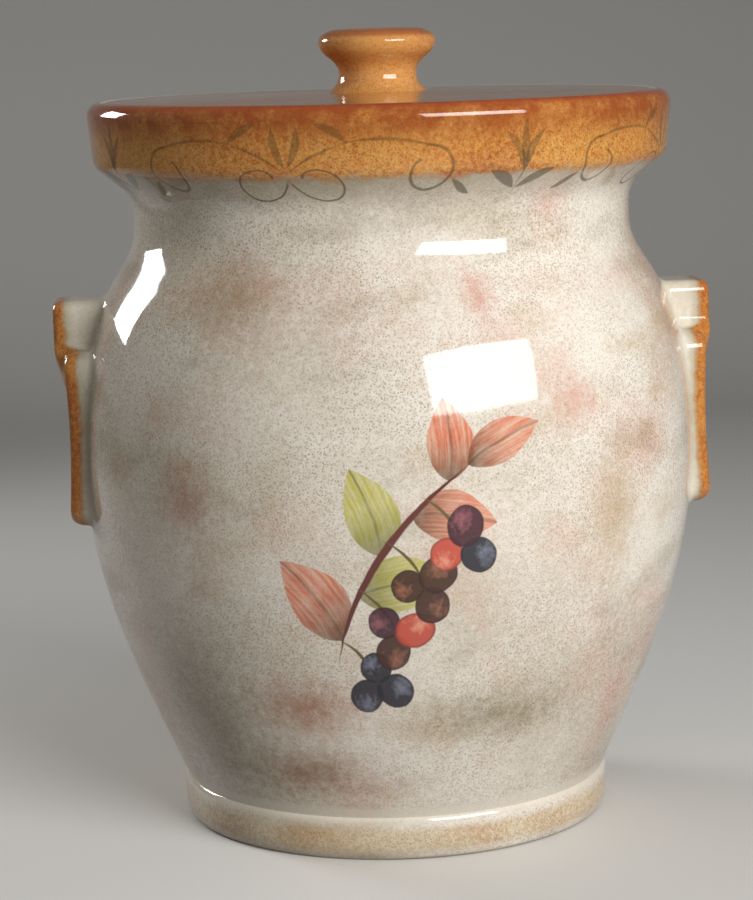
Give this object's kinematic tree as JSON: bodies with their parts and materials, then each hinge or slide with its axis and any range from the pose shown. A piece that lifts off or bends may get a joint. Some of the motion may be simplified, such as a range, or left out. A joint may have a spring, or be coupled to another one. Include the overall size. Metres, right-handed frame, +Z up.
{
  "type": "kitchen canister",
  "caption": "Large glazed ceramic kitchen canister: round-bellied jar with lug handles and a flush lift-off lid with a mushroom knob and a sealing ring.",
  "frame": {"origin": "on the jar's axis, at the level of the flat foot ring that it stands on", "axes": "+Z up along the jar's axis; the handles stand out along +X and -X; -Y is the decorated front"},
  "size_m": [0.2407, 0.2252, 0.2892],
  "materials": {
    "sponged_cream_glaze": "clear gloss glaze over sponged cream",
    "sponged_amber_glaze": "clear gloss glaze over sponged amber",
    "translucent_silicone": "soft satin"
  },
  "bodies": {
    "jar": {"jar": "sponged_cream_glaze", "left_handle": "sponged_cream_glaze", "right_handle": "sponged_cream_glaze"},
    "lid": {"lid": "sponged_amber_glaze", "lid_knob": "sponged_amber_glaze", "lid_seal_ring": "translucent_silicone"}
  },
  "joints": [
    {"name": "lid_lift", "type": "slide", "parent": "jar", "child": "lid", "axis": [0, 0, 1], "range_m": [0, 0.06]}
  ]
}
